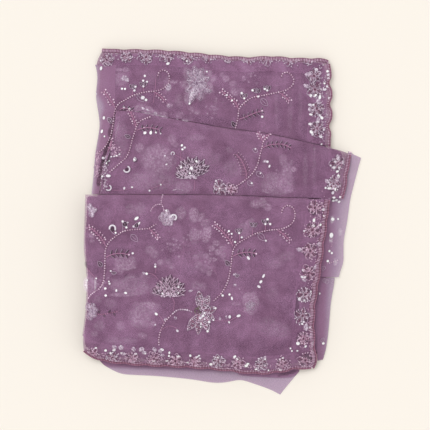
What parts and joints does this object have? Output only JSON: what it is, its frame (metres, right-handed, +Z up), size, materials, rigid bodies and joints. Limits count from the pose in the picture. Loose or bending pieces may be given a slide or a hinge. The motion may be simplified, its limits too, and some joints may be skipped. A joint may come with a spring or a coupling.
{
  "type": "folded net saree",
  "caption": "Net saree with beaded vines and scalloped floral borders, folded flat in stepped stacks with loose sheer plies at its edges.",
  "frame": {"origin": "centre of the bounding box's base, on the surface that the folded saree lies on", "axes": "+X to the right across the folded strip, +Y from the front stack to the back stack, +Z up"},
  "size_m": [0.3336, 0.4148, 0.0341],
  "materials": {
    "plied_net": "soft matt net, several plies deep, dusty mauve",
    "loose_net": "sheer matt net, one or two plies, pale mauve",
    "border_net": "net thickly worked with seed beads and sequins",
    "bead_edging": "rows of rose and pale mauve seed beads",
    "bead_motif": "seed beads, bugles and clear sequins"
  },
  "bodies": {
    "root": {"hidden_layers": "plied_net", "back_stretch": "plied_net", "middle_stretch": "plied_net", "front_stretch": "plied_net", "front_side_border": "border_net", "front_side_edging": "bead_edging", "front_hem_border": "border_net", "front_hem_edging": "bead_edging", "middle_side_border": "border_net", "middle_side_edging": "bead_edging", "back_side_border": "border_net", "back_side_edging": "bead_edging", "back_hem_border": "border_net", "back_hem_edging": "bead_edging", "left_loose_ply": "loose_net", "right_loose_ply": "loose_net", "near_right_loose_ply": "loose_net", "near_loose_ply": "loose_net", "near_folded_corner": "plied_net", "front_lily": "bead_motif", "front_carnation": "bead_motif", "middle_carnation": "bead_motif"}
  },
  "joints": []
}
